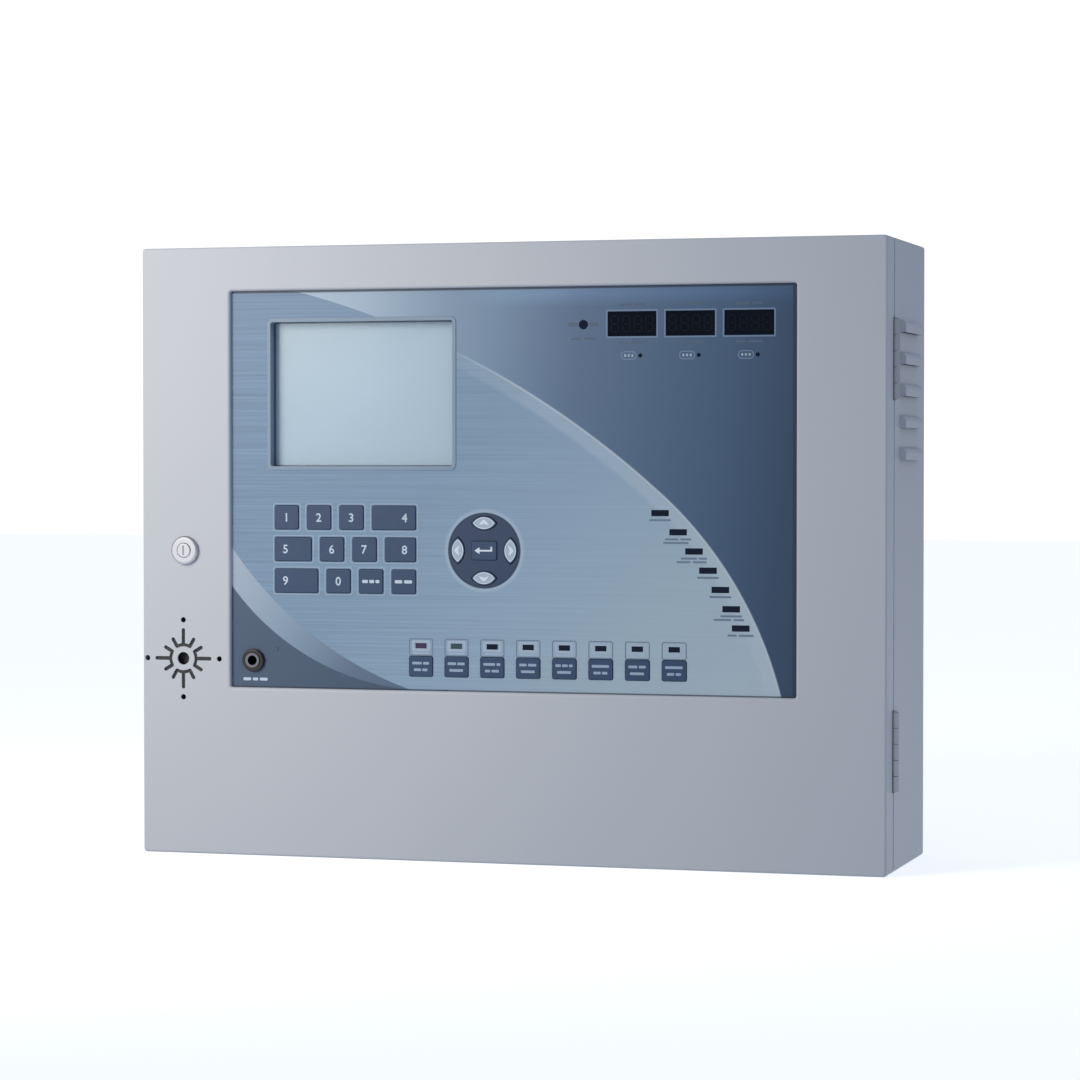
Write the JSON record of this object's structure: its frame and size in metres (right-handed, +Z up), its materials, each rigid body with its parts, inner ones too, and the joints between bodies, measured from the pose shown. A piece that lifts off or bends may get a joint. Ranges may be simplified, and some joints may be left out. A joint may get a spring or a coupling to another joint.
{
  "type": "fire alarm control panel",
  "caption": "Wall-mounted steel box with a hinged, locking door that carries a recessed display panel with an LCD, digit windows, lamps and keys.",
  "frame": {"origin": "centre of the rectangle of wall-fixing holes, on the back face", "axes": "+X to the viewer's right, +Y through the back face into the wall, +Z up"},
  "size_m": [0.508, 0.1336, 0.402],
  "materials": {
    "grey_paint": "fine-texture powder coat",
    "zinc_steel": "zinc plated",
    "hinge_steel": "dark zinc",
    "nickel": "bright nickel",
    "overlay_print": "printed film, blue",
    "frame_plastic": "satin",
    "clear_pane": "clear",
    "lcd_glass": "pale display glass",
    "display_black": "dark display filter",
    "lamp_dark": "unlit lamp",
    "key_plastic": "slate blue",
    "board_green": "solder resist",
    "part_black": "black",
    "terminal_green": "green",
    "mains_grey": "grey",
    "battery_case": "dark grey",
    "brass_stud": "plain",
    "black_rubber": "black",
    "jack_black": "black"
  },
  "bodies": {
    "cabinet": {"back_box": "grey_paint", "chassis_plate": "zinc_steel", "chassis_fixings": "zinc_steel", "main_board": "board_green", "board_parts": "part_black", "terminal_blocks": "terminal_green", "power_supply_case": "zinc_steel", "power_supply_board": "part_black", "mains_terminal": "mains_grey", "battery_left": "battery_case", "battery_right": "battery_case", "battery_strap": "zinc_steel", "earth_stud": "brass_stud", "cable_grommets": "black_rubber", "hinge_leaves_box": "hinge_steel", "hinge_pins": "hinge_steel"},
    "door": {"door_panel": "grey_paint", "hinge_leaves_door": "hinge_steel", "display_plate": "zinc_steel", "keypad_overlay": "overlay_print", "lcd_bezel": "frame_plastic", "lcd_window": "clear_pane", "lcd_module": "lcd_glass", "digit_displays": "display_black", "indicator_leds": "lamp_dark", "control_board": "board_green", "key_switches": "part_black", "display_fixings": "zinc_steel", "jack_socket": "nickel", "jack_nut": "jack_black", "sounder": "part_black", "lock_body": "nickel", "lock_nut": "zinc_steel"},
    "lock": {"lock_plug": "nickel", "lock_cam": "zinc_steel"},
    "key_1": {"key_1": "key_plastic"},
    "key_2": {"key_2": "key_plastic"},
    "key_3": {"key_3": "key_plastic"},
    "key_4": {"key_4": "key_plastic"},
    "key_5": {"key_5": "key_plastic"},
    "key_6": {"key_6": "key_plastic"},
    "key_7": {"key_7": "key_plastic"},
    "key_8": {"key_8": "key_plastic"},
    "key_9": {"key_9": "key_plastic"},
    "key_0": {"key_0": "key_plastic"},
    "key_command_left": {"key_command_left": "key_plastic"},
    "key_command_right": {"key_command_right": "key_plastic"},
    "key_arrow_up": {"key_arrow_up": "key_plastic"},
    "key_arrow_down": {"key_arrow_down": "key_plastic"},
    "key_arrow_left": {"key_arrow_left": "key_plastic"},
    "key_arrow_right": {"key_arrow_right": "key_plastic"},
    "key_enter": {"key_enter": "key_plastic"},
    "key_function_1": {"key_function_1": "key_plastic"},
    "key_function_2": {"key_function_2": "key_plastic"},
    "key_function_3": {"key_function_3": "key_plastic"},
    "key_function_4": {"key_function_4": "key_plastic"},
    "key_function_5": {"key_function_5": "key_plastic"},
    "key_function_6": {"key_function_6": "key_plastic"},
    "key_function_7": {"key_function_7": "key_plastic"},
    "key_function_8": {"key_function_8": "key_plastic"}
  },
  "joints": [
    {"name": "door_hinge", "type": "hinge", "parent": "cabinet", "child": "door", "pos_m": [0.2505, -0.106, 0], "axis": [0, 0, 1], "range_deg": [0, 100]},
    {"name": "lock_turn", "type": "hinge", "parent": "door", "child": "lock", "pos_m": [-0.2195, -0.13, 0.0005], "axis": [0, -1, 0], "range_deg": [0, 90]},
    {"name": "key_1_press", "type": "slide", "parent": "door", "child": "key_1", "axis": [0, 1, 0], "range_m": [0, 0.0005], "stiffness_N_per_m": 300},
    {"name": "key_2_press", "type": "slide", "parent": "door", "child": "key_2", "axis": [0, 1, 0], "range_m": [0, 0.0005], "stiffness_N_per_m": 300},
    {"name": "key_3_press", "type": "slide", "parent": "door", "child": "key_3", "axis": [0, 1, 0], "range_m": [0, 0.0005], "stiffness_N_per_m": 300},
    {"name": "key_4_press", "type": "slide", "parent": "door", "child": "key_4", "axis": [0, 1, 0], "range_m": [0, 0.0005], "stiffness_N_per_m": 300},
    {"name": "key_5_press", "type": "slide", "parent": "door", "child": "key_5", "axis": [0, 1, 0], "range_m": [0, 0.0005], "stiffness_N_per_m": 300},
    {"name": "key_6_press", "type": "slide", "parent": "door", "child": "key_6", "axis": [0, 1, 0], "range_m": [0, 0.0005], "stiffness_N_per_m": 300},
    {"name": "key_7_press", "type": "slide", "parent": "door", "child": "key_7", "axis": [0, 1, 0], "range_m": [0, 0.0005], "stiffness_N_per_m": 300},
    {"name": "key_8_press", "type": "slide", "parent": "door", "child": "key_8", "axis": [0, 1, 0], "range_m": [0, 0.0005], "stiffness_N_per_m": 300},
    {"name": "key_9_press", "type": "slide", "parent": "door", "child": "key_9", "axis": [0, 1, 0], "range_m": [0, 0.0005], "stiffness_N_per_m": 300},
    {"name": "key_0_press", "type": "slide", "parent": "door", "child": "key_0", "axis": [0, 1, 0], "range_m": [0, 0.0005], "stiffness_N_per_m": 300},
    {"name": "key_command_left_press", "type": "slide", "parent": "door", "child": "key_command_left", "axis": [0, 1, 0], "range_m": [0, 0.0005], "stiffness_N_per_m": 300},
    {"name": "key_command_right_press", "type": "slide", "parent": "door", "child": "key_command_right", "axis": [0, 1, 0], "range_m": [0, 0.0005], "stiffness_N_per_m": 300},
    {"name": "key_arrow_up_press", "type": "slide", "parent": "door", "child": "key_arrow_up", "axis": [0, 1, 0], "range_m": [0, 0.0005], "stiffness_N_per_m": 300},
    {"name": "key_arrow_down_press", "type": "slide", "parent": "door", "child": "key_arrow_down", "axis": [0, 1, 0], "range_m": [0, 0.0005], "stiffness_N_per_m": 300},
    {"name": "key_arrow_left_press", "type": "slide", "parent": "door", "child": "key_arrow_left", "axis": [0, 1, 0], "range_m": [0, 0.0005], "stiffness_N_per_m": 300},
    {"name": "key_arrow_right_press", "type": "slide", "parent": "door", "child": "key_arrow_right", "axis": [0, 1, 0], "range_m": [0, 0.0005], "stiffness_N_per_m": 300},
    {"name": "key_enter_press", "type": "slide", "parent": "door", "child": "key_enter", "axis": [0, 1, 0], "range_m": [0, 0.0005], "stiffness_N_per_m": 300},
    {"name": "key_function_1_press", "type": "slide", "parent": "door", "child": "key_function_1", "axis": [0, 1, 0], "range_m": [0, 0.0005], "stiffness_N_per_m": 300},
    {"name": "key_function_2_press", "type": "slide", "parent": "door", "child": "key_function_2", "axis": [0, 1, 0], "range_m": [0, 0.0005], "stiffness_N_per_m": 300},
    {"name": "key_function_3_press", "type": "slide", "parent": "door", "child": "key_function_3", "axis": [0, 1, 0], "range_m": [0, 0.0005], "stiffness_N_per_m": 300},
    {"name": "key_function_4_press", "type": "slide", "parent": "door", "child": "key_function_4", "axis": [0, 1, 0], "range_m": [0, 0.0005], "stiffness_N_per_m": 300},
    {"name": "key_function_5_press", "type": "slide", "parent": "door", "child": "key_function_5", "axis": [0, 1, 0], "range_m": [0, 0.0005], "stiffness_N_per_m": 300},
    {"name": "key_function_6_press", "type": "slide", "parent": "door", "child": "key_function_6", "axis": [0, 1, 0], "range_m": [0, 0.0005], "stiffness_N_per_m": 300},
    {"name": "key_function_7_press", "type": "slide", "parent": "door", "child": "key_function_7", "axis": [0, 1, 0], "range_m": [0, 0.0005], "stiffness_N_per_m": 300},
    {"name": "key_function_8_press", "type": "slide", "parent": "door", "child": "key_function_8", "axis": [0, 1, 0], "range_m": [0, 0.0005], "stiffness_N_per_m": 300}
  ]
}
